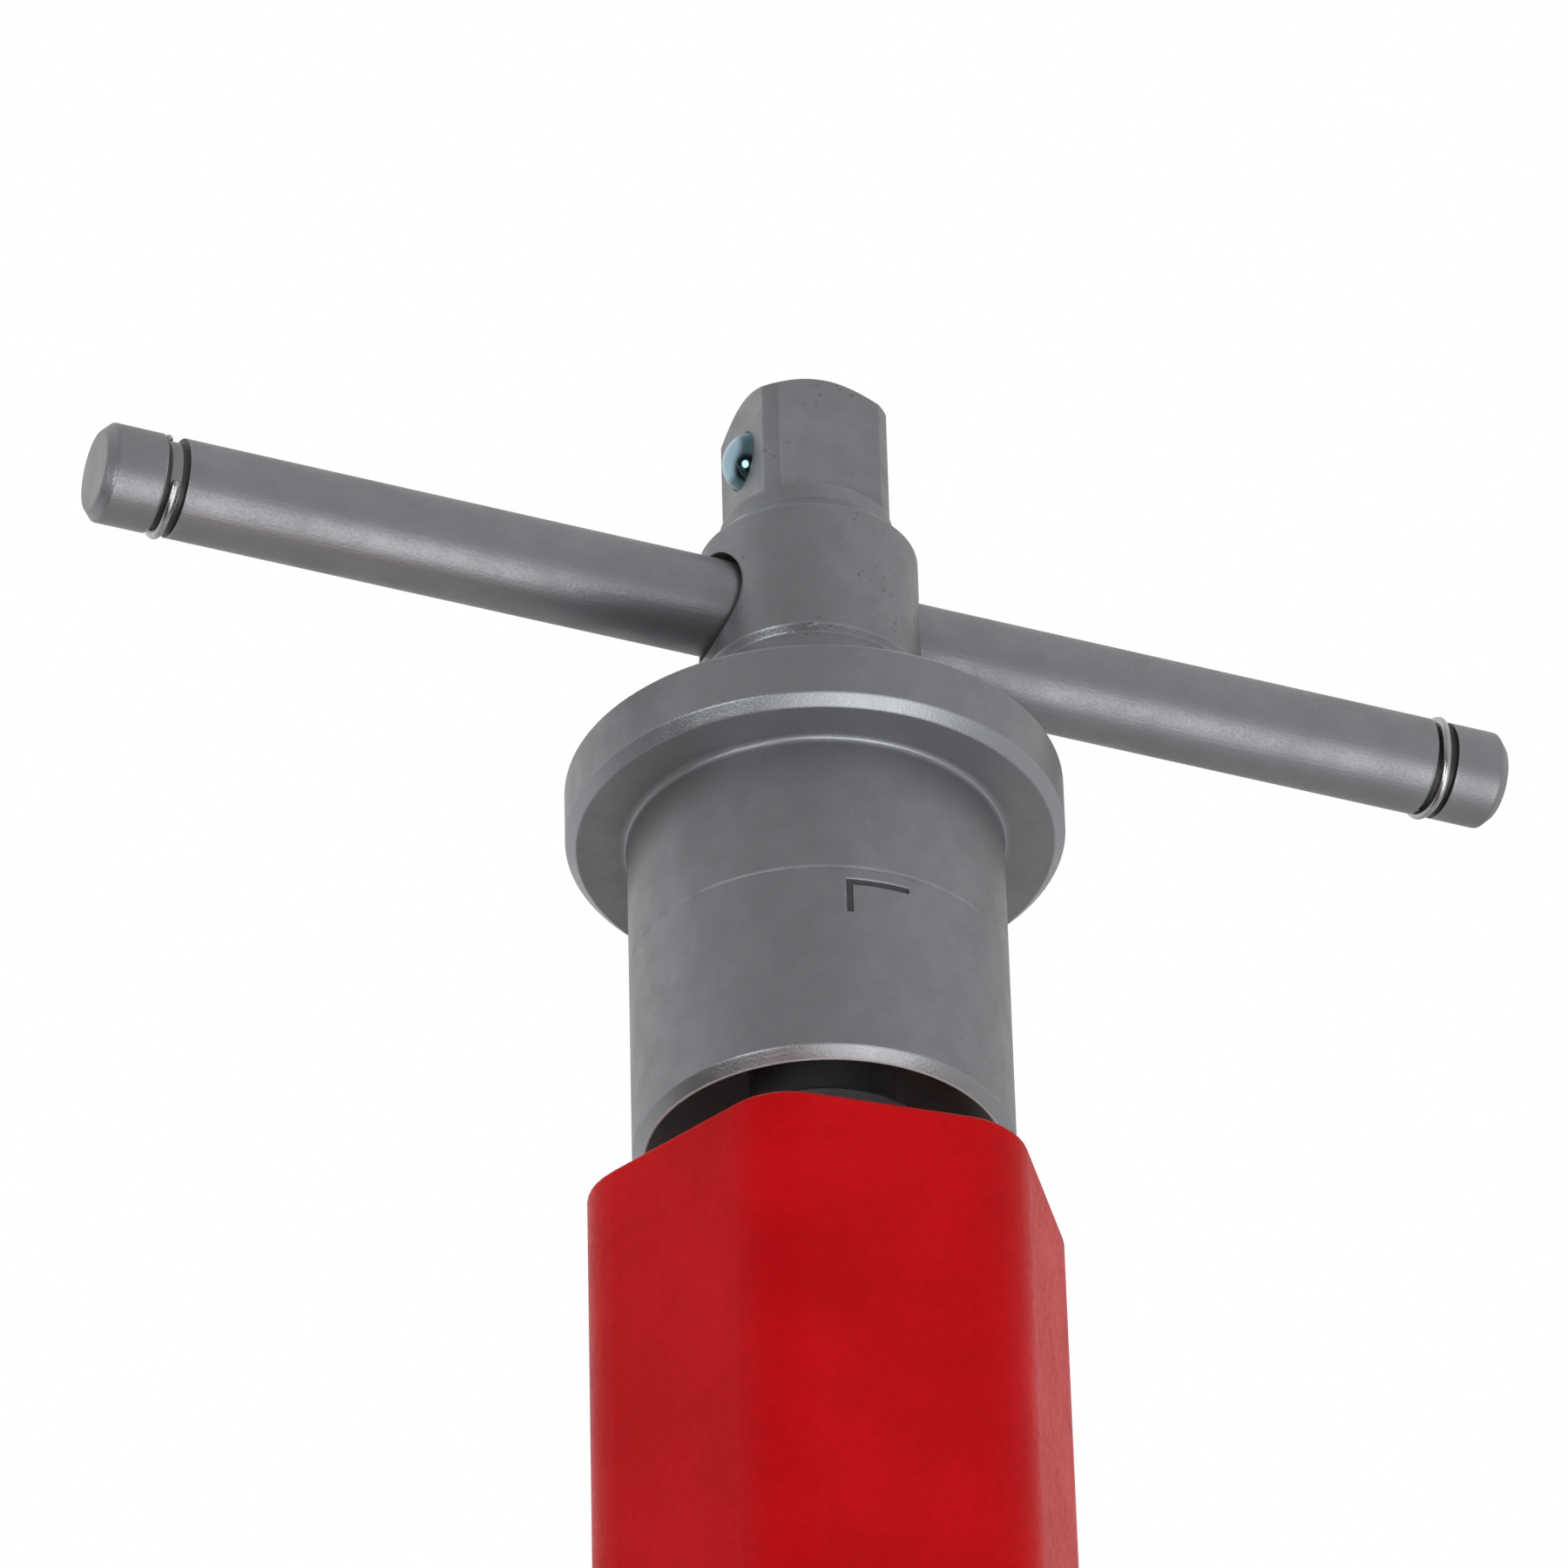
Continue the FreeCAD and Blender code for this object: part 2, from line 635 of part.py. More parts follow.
def make_gland():
    """Plug, bush, wiper, sealing ring, clip and rubber stop at the top of the tube."""
    plug = "chamber_bore - stack_clearance"
    groove_middle = f"{PLUG_FOOT} + ring_groove_rise"
    groove_low = f"{groove_middle} - ring_groove_half"
    groove_high = f"{groove_middle} + ring_groove_half"
    keep(turned("gland_plug", [
        ("gland_bush_outer", PLUG_FOOT), (plug, PLUG_FOOT), (plug, groove_low),
        ("ring_groove_radius", groove_low), ("ring_groove_radius", groove_high),
        (plug, groove_high), (plug, PLUG_TOP), ("gland_spigot", PLUG_TOP),
        ("gland_spigot", f"{SPIGOT_TOP} - spigot_edge"),
        ("gland_spigot - spigot_edge", SPIGOT_TOP),
        ("gland_bush_outer", SPIGOT_TOP),
    ]))
    bush_top = f"{PLUG_FOOT} + gland_bush_length"
    bore, fit = "shaft_radius + shaft_clearance", "gland_bush_outer - press_clearance"
    make_ring("gland_bush", bore, fit, PLUG_FOOT, bush_top)
    make_ring("wiper_seal", bore, fit, f"{bush_top} + stack_clearance",
              f"{bush_top} + wiper_height")
    ring = doc.addObject("Part::Torus", "gland_ring")
    ring.Label = "gland_ring"
    bind(ring, {"Radius1": "chamber_bore - ring_wire - press_clearance",
                "Radius2": "ring_wire - press_clearance"})
    keep(placed(ring, ("0", "0", groove_middle)))
    make_ring("stop_bumper", "bumper_inner", "bumper_outer", f"{PLUG_FOOT} - bumper_height",
              f"{PLUG_FOOT} - press_clearance", edge="bumper_edge")


def make_clip():
    """Internal retaining clip with a gap and two eyed lugs."""
    body = new_body("gland_clip")
    foot = f"{PLUG_TOP} + clip_clearance"
    thickness = "clip_thickness - 2 * clip_clearance"
    band = new_sketch(body, "clip_band", "XY_Plane", offset=foot)
    add_circle(band, "clip_groove - clip_clearance")
    add_circle(band, "clip_inner")
    padded(body, band, thickness)
    gap = new_sketch(body, "clip_gap", "XY_Plane", offset=foot)
    add_rectangle(gap, "-1 * clip_gap_half", "clip_gap_half",
                  "clip_inner - clip_lug", "clip_groove + clip_lug")
    cut(body, gap, depth=thickness, away=True)
    for side, name in ((-1, "left"), (1, "right")):
        place = (f"{side} * clip_lug_offset", "clip_inner")
        lug = new_sketch(body, f"clip_{name}_lug", "XY_Plane", offset=foot)
        add_circle(lug, "clip_lug", *place)
        padded(body, lug, thickness)
        eye = new_sketch(body, f"clip_{name}_eye", "XY_Plane", offset=foot)
        add_circle(eye, "clip_eye", *place)
        cut(body, eye, depth=thickness, away=True)
    return keep(body)


# ---------------------------------------------------------------- head


def make_skirt():
    """Guard flange and skirt in one turning, with a scribed line and an index mark."""
    scribe_low = f"{RIM} + scribe_rise"
    scribe_high = f"{scribe_low} + scribe_width"
    bore = "shaft_radius + press_clearance"
    body = turned("skirt_turning", [
        (bore, WEB_FOOT), ("skirt_bore - skirt_chamfer", WEB_FOOT),
        ("skirt_bore", f"{WEB_FOOT} - skirt_chamfer"),
        ("skirt_bore", RIM), ("skirt_radius - skirt_chamfer", RIM),
        ("skirt_radius", f"{RIM} + skirt_chamfer"), ("skirt_radius", scribe_low),
        ("skirt_radius - scribe_depth", f"{scribe_low} + scribe_width / 2"),
        ("skirt_radius", scribe_high), ("skirt_radius", FLANGE_FOOT),
        ("flange_radius - flange_chamfer", FLANGE_FOOT),
        ("flange_radius", f"{FLANGE_FOOT} + flange_chamfer"),
        ("flange_radius", f"{FLANGE_TOP} - flange_edge"),
        ("flange_radius - flange_edge", FLANGE_TOP), (bore, FLANGE_TOP),
    ])
    dressed(body, "Fillet", "skirt_root", "skirt_fillet",
            lambda edge: is_ring(edge, "skirt_radius", FLANGE_FOOT))
    cut_dowel_holes(body, "skirt")
    band = doc.addObject("Part::Cylinder", "mark_band")
    bind(band, {"Radius": "skirt_radius + 1", "Height": "mark_line", "Angle": "mark_sweep_degrees"})
    core = doc.addObject("Part::Cylinder", "mark_core")
    bind(core, {"Radius": "skirt_radius - mark_depth", "Height": "skirt_height"})
    stem = doc.addObject("Part::Box", "mark_stem")
    bind(stem, {"Length": "skirt_radius + 1", "Width": "mark_line", "Height": "mark_drop"})
    start = value("mark_start_degrees")
    placed(band, ("0", "0", f"{RIM} + mark_rise - mark_line"), degrees=start)
    placed(stem, ("0", "0", f"{RIM} + mark_rise - mark_drop"), degrees=start)
    placed(core, ("0", "0", RIM))
    mark = doc.addObject("Part::Fuse", "index_mark")
    mark.Base, mark.Tool = band, stem
    shallow = doc.addObject("Part::Cut", "index_mark_skin")
    shallow.Base, shallow.Tool = mark, core
    skirt = doc.addObject("Part::Cut", "flanged_skirt")
    skirt.Label = "flanged_skirt"
    skirt.Base, skirt.Tool = body, shallow
    doc.recompute()
    return keep(skirt)


def cut_dowel_holes(body, prefix):
    """Two holes for the dowels that cross the joint between skirt and neck."""
    half = "(dowel_half + stack_clearance)"
    holes = new_sketch(body, f"{prefix}_dowel_holes", "XY_Plane", offset=f"{FLANGE_TOP} - {half}")
    for side in (-1, 1):
        add_circle(holes, "dowel_radius + press_clearance", across=f"{side} * dowel_circle")
    cut(body, holes, depth=f"2 * {half}", away=True)


def make_skirt_fastening():
    """Washer, nut and dowels that clamp the skirt's web against the neck."""
    bore = "shaft_radius + press_clearance"
    washer_foot = f"{WEB_FOOT} - washer_height"
    nut_foot = f"{washer_foot} - nut_height"
    make_ring("skirt_washer", bore, "washer_radius", washer_foot, WEB_FOOT)
    nut = new_body("skirt_nut")
    section = new_sketch(nut, "nut_section", "XY_Plane", offset=nut_foot)
    add_hexagon(section, "nut_flats")
    add_circle(section, bore)
    padded(nut, section, "nut_height")
    keep(nut)
    dowels = new_body("skirt_dowels", several=True)
    ends = new_sketch(dowels, "dowel_ends", "XY_Plane", offset=f"{FLANGE_TOP} - dowel_half")
    for side in (-1, 1):
        add_circle(ends, "dowel_radius", across=f"{side} * dowel_circle")
    padded(dowels, ends, "2 * dowel_half")
    keep(dowels)


def make_head():
    """Drive head: neck, cross-drilled hub and square tang in one forging."""
    body = turned("drive_head", [
        ("0", FLANGE_TOP), ("neck_radius", FLANGE_TOP),
        ("neck_radius", f"{HUB_FOOT} - hub_chamfer"),
        ("hub_radius", HUB_FOOT), ("hub_radius", HUB_TOP), ("tang_radius", CONE_TOP),
        ("tang_radius", f"{TANG_TOP} - tang_bevel_height"),
        ("tang_radius - tang_bevel", TANG_TOP), ("0", TANG_TOP),
    ])
    flats = new_sketch(body, "tang_flats", "XY_Plane", offset=TANG_TOP)
    add_circle(flats, "tang_square")
    half = "tang_square / 2"
    add_rectangle(flats, f"-1 * {half}", half, f"-1 * {half}", half)
    cut(body, flats, depth="tang_length")
    bore = new_sketch(body, "neck_bore", "XY_Plane", offset=FLANGE_TOP)
    add_circle(bore, "shaft_radius + press_clearance")
    cut(body, bore, depth="neck_bore_depth", away=True)
    cut_dowel_holes(body, "head")
    cross_hole(body, "head_pin_hole", "XZ_Plane", "head_pin_radius",
               f"{FLANGE_TOP} + head_pin_height")
    cross_hole(body, "bar_hole_bore", "YZ_Plane", "bar_hole", BAR_AXIS)
    for side, name in ((1, "right"), (-1, "left")):
        mouth = new_sketch(body, f"bar_{name}_mouth", "YZ_Plane", offset=f"{side} * bar_land / 2")
        add_circle(mouth, "bar_mouth", along=BAR_AXIS)
        cut(body, mouth, depth="hub_radius", away=side > 0)
    face = "-1 * tang_square / 2"
    well = new_sketch(body, "detent_well", "XZ_Plane")
    well.AttachmentOffset.Base.y = value(BALL_AXIS)
    bind(well, {"AttachmentOffset.Base.y": BALL_AXIS})
    add_outline(well, [
        (f"{face} - ball_lip_depth", "0"), (f"{face} - ball_lip_depth", "ball_lip"),
        (face, "ball_lip"), (f"{face} + ball_lip_depth", "ball_bore"),
        (f"{face} + ball_well", "ball_bore"), (f"{face} + ball_well", "0"),
    ])
    drilled(body, well, "H_Axis")
    return keep(body)


def make_head_pin():
    """Cross pin that locks the plunger shaft in the neck."""
    body = pin("head_pin", "head_pin_radius - press_clearance", "neck_radius - ring_edge")
    return keep(placed(body, ("0", "0", f"{FLANGE_TOP} + head_pin_height"), degrees=90))


def make_detent():
    """The ball held by the staked lip of the tang's well, and the spring behind it."""
    face = "-1 * tang_square / 2"
    ball = doc.addObject("Part::Sphere", "detent_ball")
    ball.Label = "detent_ball"
    bind(ball, {"Radius": "ball_radius"})
    keep(placed(ball, (f"{face} + ball_inset", "0", BALL_AXIS)))
    coil = doc.addObject("Part::Helix", "detent_path")
    bind(coil, {"Radius": "detent_coil", "Height": "detent_length",
                "Pitch": "detent_length / detent_turns"})
    wire = doc.addObject("Part::Circle", "detent_section")
    bind(wire, {"Radius": "detent_wire"})
    placed(wire, ("detent_coil", "0", "0"), axis=(1, 0, 0), degrees=90)
    spring = doc.addObject("Part::Sweep", "detent_spring")
    spring.Label = "detent_spring"
    spring.Sections = [wire]
    spring.Spine = (coil, [])
    spring.Solid = True
    spring.Frenet = True
    start = f"{face} + ball_inset + detent_seat"
    keep(placed(spring, (start, "0", BALL_AXIS), axis=(0, 1, 0), degrees=90))


# ---------------------------------------------------------------- T-bar


def make_bar():
    """Sliding T-bar with a snap ring in a groove near each end."""
    end = "bar_length / 2"
    groove = f"{end} - groove_inset"
    outer, inner = f"{groove} + groove_half", f"{groove} - groove_half"
    half = [
        (inner, "bar_radius"), (inner, "groove_radius"), (outer, "groove_radius"),
        (outer, "bar_radius"), (f"{end} - bar_chamfer", "bar_radius"),
        (end, "bar_radius - bar_chamfer"), (end, "0"),
    ]
    other = [(f"-1 * ({along})", radius) for along, radius in reversed(half)]
    bar = turned("tommy_bar", other + half, axis="H_Axis")
    land = value(f"{end} - 2 * bar_chamfer")
    dressed(bar, "Fillet", "bar_ends", "bar_round",
            lambda edge: isinstance(edge.Curve, Part.Circle) and abs(edge.Curve.Center.x) > land)
    keep(placed(bar, ("0", "0", BAR_AXIS)))
    for name, position, start in (("left", f"-1 * ({groove})", 305.0),
                                  ("right", f"{groove} - ring_drift", 178.0)):
        ring = doc.addObject("Part::Torus", f"{name}_snap_ring")
        ring.Label = f"{name}_snap_ring"
        bind(ring, {"Radius1": "wire_circle", "Radius2": "wire_radius",
                    "Angle3": "wire_sweep_degrees"})
        spin = FreeCAD.Rotation(FreeCAD.Vector(1, 0, 0), start)
        placed(ring, (position, "0", BAR_AXIS))
        ring.Placement.Rotation = spin * FreeCAD.Rotation(FreeCAD.Vector(0, 1, 0), 90)
        keep(ring)


def make_nipple():
    """Grease nipple screwed through the tube's rear flat."""
    face = "tube_flats / 2"
    seat = f"{face} + press_clearance"
    body = turned("grease_nipple", [
        ("0", f"{face} - nipple_stem"),
        ("nipple_thread - stack_clearance", f"{face} - nipple_stem"),
        ("nipple_thread - stack_clearance", seat), ("nipple_base_radius", seat),
        ("nipple_base_radius", f"{face} + nipple_base"),
        ("nipple_waist", f"{face} + nipple_shoulder"), ("nipple_waist", f"{face} + nipple_neck"),
        ("nipple_head", f"{face} + nipple_head_low"),
        ("nipple_head", f"{face} + nipple_head_high"),
        ("nipple_waist / 2", f"{face} + nipple_reach"), ("0", f"{face} + nipple_reach"),
    ])
    body.Placement = FreeCAD.Placement(
        FreeCAD.Vector(0, 0, value("nipple_height")),
        FreeCAD.Rotation(FreeCAD.Vector(0, 0, 1), value("tube_turn_degrees"))
        * FreeCAD.Rotation(FreeCAD.Vector(1, 0, 0), -90))
    return keep(body)


def check_and_write():
    """Stop on any failed object, then write one STEP file for each sub-part."""
    doc.recompute()
    for item in doc.Objects:
        if "Invalid" in item.State or "Error" in item.State:
            raise RuntimeError(f"{item.Name} failed: {item.State}")
    os.makedirs("parts", exist_ok=True)
    for item in subparts:
        if item.Shape.isNull() or not item.Shape.isValid():
            raise RuntimeError(f"{item.Label} has no valid shape")
        item.Shape.exportStep(os.path.join("parts", f"{item.Label}.step"))
        print(f"{item.Label:18s} solids {len(item.Shape.Solids)} volume {item.Shape.Volume:10.1f}")


make_tube()
make_mouth_ring()
make_mouth_screws()
make_stack()
make_anvil()
make_dog()
make_shaft()
make_ram()
make_gland()
make_clip()
make_skirt()
make_skirt_fastening()
make_head()
make_head_pin()
make_detent()
make_bar()
make_nipple()
check_and_write()
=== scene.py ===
"""Post driver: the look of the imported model, in metres, in the CAD frame."""
import json
import math

import bpy
from mathutils import Matrix, Vector


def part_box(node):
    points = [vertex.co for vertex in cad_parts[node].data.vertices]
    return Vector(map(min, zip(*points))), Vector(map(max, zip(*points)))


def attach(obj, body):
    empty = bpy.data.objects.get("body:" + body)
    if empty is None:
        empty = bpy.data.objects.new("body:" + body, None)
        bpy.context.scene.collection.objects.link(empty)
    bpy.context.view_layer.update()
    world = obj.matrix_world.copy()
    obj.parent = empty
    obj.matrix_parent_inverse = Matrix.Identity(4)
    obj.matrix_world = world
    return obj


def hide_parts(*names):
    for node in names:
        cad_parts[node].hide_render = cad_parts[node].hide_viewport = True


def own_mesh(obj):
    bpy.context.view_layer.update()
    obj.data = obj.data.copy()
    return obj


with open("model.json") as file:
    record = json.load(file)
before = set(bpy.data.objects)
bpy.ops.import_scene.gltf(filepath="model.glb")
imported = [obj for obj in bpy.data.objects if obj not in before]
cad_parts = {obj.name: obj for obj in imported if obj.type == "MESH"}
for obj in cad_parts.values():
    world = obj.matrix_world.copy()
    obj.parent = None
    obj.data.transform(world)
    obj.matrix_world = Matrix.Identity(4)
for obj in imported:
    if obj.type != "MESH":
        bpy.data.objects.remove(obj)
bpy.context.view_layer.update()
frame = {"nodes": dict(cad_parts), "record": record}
nodes = frame["nodes"]

MM = 0.001

# ------------------------------------------------------------------ camera

VIEW_AZIMUTH = math.radians(-23.0)
VIEW_ELEVATION = math.radians(-35.6)
VIEW_ROLL = math.radians(1.57)
VIEW_DISTANCE = 1.446
VIEW_LENS = 240.0
SENSOR_WIDTH = 36.0
CLIP_NEAR, CLIP_FAR = 0.05, 20.0
AIM_HEIGHT = 0.4723
AIM_LEFT = 4.1 * MM


def direction(azimuth, elevation):
    """Unit vector towards an azimuth and elevation; azimuth 0 is -Y and grows towards +X."""
    return Vector((math.sin(azimuth) * math.cos(elevation),
                   -math.cos(azimuth) * math.cos(elevation), math.sin(elevation)))


def make_camera():
    """Long lens, below the head and a little to its left, rolled slightly."""
    back = direction(VIEW_AZIMUTH, VIEW_ELEVATION)
    level = Vector((0, 0, 1)).cross(back).normalized()
    upright = back.cross(level)
    right = level * math.cos(VIEW_ROLL) - upright * math.sin(VIEW_ROLL)
    top = level * math.sin(VIEW_ROLL) + upright * math.cos(VIEW_ROLL)
    data = bpy.data.cameras.new("camera")
    data.lens = VIEW_LENS
    data.sensor_width = SENSOR_WIDTH
    data.clip_start, data.clip_end = CLIP_NEAR, CLIP_FAR
    camera = bpy.data.objects.new("camera", data)
    place = Vector((0, 0, AIM_HEIGHT)) - right * AIM_LEFT + back * VIEW_DISTANCE
    axes = Matrix((right, top, back)).transposed().to_4x4()
    camera.matrix_world = Matrix.Translation(place) @ axes
    bpy.context.scene.collection.objects.link(camera)
    bpy.context.scene.camera = camera


# ------------------------------------------------------------------ shader nodes

NOISE_ROUGHNESS = 0.55


def add(tree, kind, inputs=None, **settings):
    """A shader node with its settings, and each input set to a number or linked to a socket."""
    node = tree.nodes.new(f"ShaderNode{kind}")
    for name, value in settings.items():
        setattr(node, name, value)
    for name, value in (inputs or {}).items():
        if isinstance(value, bpy.types.NodeSocket):
            tree.links.new(value, node.inputs[name])
        else:
            node.inputs[name].default_value = value
    return node


def calc(tree, operation, first, second=0.0, third=0.0):
    """The result of a Math node on up to three numbers or sockets."""
    inputs = {0: first, 1: second, 2: third}
    return add(tree, "Math", inputs, operation=operation).outputs[0]


def spread(tree, value, low, high, to_low=0.0, to_high=1.0):
    """A value's span from low to high, eased and carried over to another span."""
    node = add(tree, "MapRange", {"Value": value, "From Min": low, "From Max": high,
                                  "To Min": to_low, "To Max": to_high},
               interpolation_type="SMOOTHSTEP")
    return node.outputs["Result"]


def between(tree, value, low, high):
    """One where a value lies between two limits, and nothing elsewhere."""
    above = calc(tree, "GREATER_THAN", value, low)
    return calc(tree, "MULTIPLY", above, calc(tree, "LESS_THAN", value, high))


def blended(tree, amount, first, second):
    """A colour between two, each a socket or three numbers."""
    node = add(tree, "Mix", data_type="RGBA")
    sockets = {socket.identifier: socket for socket in node.inputs}
    tree.links.new(amount, sockets["Factor_Float"])
    for name, color in (("A_Color", first), ("B_Color", second)):
        if isinstance(color, bpy.types.NodeSocket):
            tree.links.new(color, sockets[name])
        else:
            sockets[name].default_value = (*color, 1)
    return next(socket for socket in node.outputs if socket.identifier == "Result_Color")


def noise(tree, place, size, detail=3.0):
    """Noise whose features are about a size in millimetres across."""
    node = add(tree, "TexNoise", {"Vector": place, "Scale": 1 / (size * MM), "Detail": detail,
                                  "Roughness": NOISE_ROUGHNESS})
    return node.outputs["Fac"]


def split(tree, vector):
    """The X, Y and Z of a vector."""
    return add(tree, "SeparateXYZ", {0: vector}).outputs


def distance(tree, first, second):
    """Distance from an axis, from the two coordinates square to it."""
    flat = add(tree, "CombineXYZ", {0: first, 1: second}).outputs[0]
    return add(tree, "VectorMath", {0: flat}, operation="LENGTH").outputs["Value"]


# ------------------------------------------------------------------ studio

STUDIO_LEVEL = 0.5
# azimuth, elevation, inner and outer half-angle in degrees, radiance added or taken away
STUDIO_PANELS = (
    (8, -58, 8, 36, 2.4),
    (-66, -42, 34, 62, -0.48),
    (-64, -27, 9, 14, 7.5),
    (70, 30, 20, 80, 0.3),
    (-140, 30, 20, 70, 0.45),
)
WHITE = (1, 1, 1, 1)

FLOOR_RADIUS = 0.5
FLOOR_SIDES = 128
FLOOR_DROP = 0.2 * MM
FLOOR_MOTTLE = 60.0
FLOOR_DARK, FLOOR_LIGHT = (0.84, 0.84, 0.83), (0.88, 0.88, 0.87)
FLOOR_ROUGHNESS = 0.7


def make_world():
    """Even light with soft round panels added to it or taken away, and plain white behind."""
    world = bpy.data.worlds.new("studio")
    bpy.context.scene.world = world
    world.use_nodes = True
    tree = world.node_tree
    tree.nodes.clear()
    toward = add(tree, "TexCoord").outputs["Generated"]
    level = STUDIO_LEVEL
    for azimuth, elevation, inner, outer, gain in STUDIO_PANELS:
        aim = direction(math.radians(azimuth), math.radians(elevation))
        near = add(tree, "VectorMath", {0: toward, 1: aim}, operation="DOT_PRODUCT")
        panel = spread(tree, near.outputs["Value"], math.cos(math.radians(outer)),
                       math.cos(math.radians(inner)), 0.0, gain)
        level = calc(tree, "ADD", panel, level)
    lit = add(tree, "Background", {"Color": WHITE, "Strength": level})
    seen = add(tree, "Background", {"Color": WHITE})
    path = add(tree, "LightPath")
    mix = add(tree, "MixShader", {0: path.outputs["Is Camera Ray"], 1: lit.outputs[0],
                                  2: seen.outputs[0]})
    add(tree, "OutputWorld", {"Surface": mix.outputs[0]})


def make_floor():
    """Pale round floor, just under the tube's foot."""
    bpy.ops.mesh.primitive_circle_add(vertices=FLOOR_SIDES, radius=FLOOR_RADIUS,
                                      fill_type="NGON")
    floor = bpy.context.object
    floor.name = "floor"
    material = bpy.data.materials.new("floor")
    material.use_nodes = True
    tree = material.node_tree
    place = add(tree, "TexCoord").outputs["Object"]
    shader = tree.nodes["Principled BSDF"]
    tree.links.new(blended(tree, noise(tree, place, FLOOR_MOTTLE), FLOOR_DARK, FLOOR_LIGHT),
                   shader.inputs["Base Color"])
    shader.inputs["Roughness"].default_value = FLOOR_ROUGHNESS
    floor.data.materials.append(material)
    floor.location.z = -FLOOR_DROP
    floor.visible_diffuse = floor.visible_glossy = floor.visible_shadow = False


# ------------------------------------------------------------------ finishes

# Sizes are in millimetres. "lines" is the direction of the tool marks: turned about Z, drawn
# along X, or none.
FINISHES = {
    "satin_steel": dict(
        dark=(0.219, 0.226, 0.236), light=(0.243, 0.248, 0.259), metallic=0.72,
        roughness=(0.40, 0.50), patch=5.0, grain=0.35, bump=0.035,
        lines="turned", pitch=0.5, groove=0.02, edge=0.5, edge_wear_and_highlight=(0.42, 0.43, 0.45)),
    "bar_steel": dict(
        dark=(0.230, 0.235, 0.245), light=(0.256, 0.262, 0.274), metallic=0.75,
        roughness=(0.36, 0.46), patch=7.0, grain=0.4, bump=0.03,
        lines="drawn", pitch=0.35, groove=0.02, edge=0.6, edge_wear_and_highlight=(0.42, 0.43, 0.44)),
    "red_coat": dict(
        dark=(0.49, 0.0030, 0.0045), light=(0.60, 0.0045, 0.007), metallic=0.0,
        roughness=(0.30, 0.40), patch=22.0, grain=1.3, bump=0.05,
        lines=None, pitch=1.0, groove=0.0, edge=0.8, edge_wear_and_highlight=(0.62, 0.012, 0.015), specular=0.05),
    "black_oxide": dict(
        dark=(0.080, 0.083, 0.092), light=(0.115, 0.118, 0.126), metallic=0.3,
        roughness=(0.40, 0.52), patch=8.0, grain=0.3, bump=0.02,
        lines="turned", pitch=0.3, groove=0.02, edge=0.5, edge_wear_and_highlight=(0.20, 0.20, 0.21)),
    "tool_steel": dict(
        dark=(0.095, 0.093, 0.096), light=(0.15, 0.148, 0.15), metallic=0.85,
        roughness=(0.34, 0.46), patch=6.0, grain=0.35, bump=0.03,
        lines="turned", pitch=0.5, groove=0.03, edge=0.6, edge_wear_and_highlight=(0.33, 0.33, 0.34)),
    "gland_steel": dict(
        dark=(0.40, 0.405, 0.415), light=(0.50, 0.505, 0.515), metallic=0.8,
        roughness=(0.30, 0.40), patch=6.0, grain=0.3, bump=0.02,
        lines="turned", pitch=0.35, groove=0.04, edge=0.4, edge_wear_and_highlight=(0.62, 0.62, 0.63)),
    "zinc_plate": dict(
        dark=(0.42, 0.49, 0.55), light=(0.58, 0.62, 0.64), metallic=1.0,
        roughness=(0.24, 0.36), patch=4.0, grain=0.3, bump=0.02,
        lines="turned", pitch=0.5, groove=0.02, edge=0.4, edge_wear_and_highlight=(0.66, 0.68, 0.70)),
    "spring_wire": dict(
        dark=(0.38, 0.385, 0.395), light=(0.50, 0.505, 0.515), metallic=1.0,
        roughness=(0.22, 0.32), patch=3.0, grain=0.15, bump=0.01,
        lines=None, pitch=0.2, groove=0.0, edge=0.2, edge_wear_and_highlight=(0.54, 0.54, 0.55)),
    # Ball: the bluish light colour stands for the bright rim it reflects, a painted reflection.
    "ball_steel": dict(
        dark=(0.27, 0.40, 0.47), light=(0.32, 0.45, 0.52), metallic=1.0,
        roughness=(0.06, 0.12), patch=2.5, grain=0.2, bump=0.004,
        lines=None, pitch=0.2, groove=0.0, edge=0.2, edge_wear_and_highlight=(0.34, 0.46, 0.53)),
    "bronze": dict(
        dark=(0.36, 0.205, 0.085), light=(0.55, 0.34, 0.15), metallic=1.0,
        roughness=(0.30, 0.46), patch=3.0, grain=0.25, bump=0.05,
        lines="turned", pitch=0.4, groove=0.03, edge=0.4, edge_wear_and_highlight=(0.68, 0.46, 0.22)),
    "rubber": dict(
        dark=(0.014, 0.014, 0.015), light=(0.032, 0.031, 0.031), metallic=0.0,
        roughness=(0.55, 0.72), patch=5.0, grain=0.4, bump=0.08,
        lines=None, pitch=0.5, groove=0.0, edge=0.8, edge_wear_and_highlight=(0.05, 0.05, 0.05)),
}

# Tone: how much the patches and the grain count for, the span of noise used, and the marks' part.
CLOUD_PART, FLECK_PART = 0.7, 0.3
TONE_SPAN = (0.34, 0.66)
MARK_PART = 0.35
MARK_DETAIL = 2.0
# Share of a drawn mark's length that noise sees, which makes the streaks long.
STREAK = 0.02
# Lighter edges, part wear and part painted highlight: how far the rounded normal leans, and how
# the patches break them up.
BEVEL_SAMPLES = 6
RIDGE_LEAN = (0.998, 0.90)
RIDGE_PATCHES = (0.30, 0.62, 0.25, 0.85)
GLOSS_SPAN = (0.7, 1.3)

# Chamfers of turned pieces, by the slope of their faces.
CHAMFER_SLOPE, CHAMFER_SPAN = 0.707, 0.08
CHAMFER_POLISH = 0.12
# Painted highlight: the chamfers' lighter colour stands for the bright light they reflect.
CHAMFER_HIGHLIGHT_COLOR = (0.305, 0.315, 0.33)

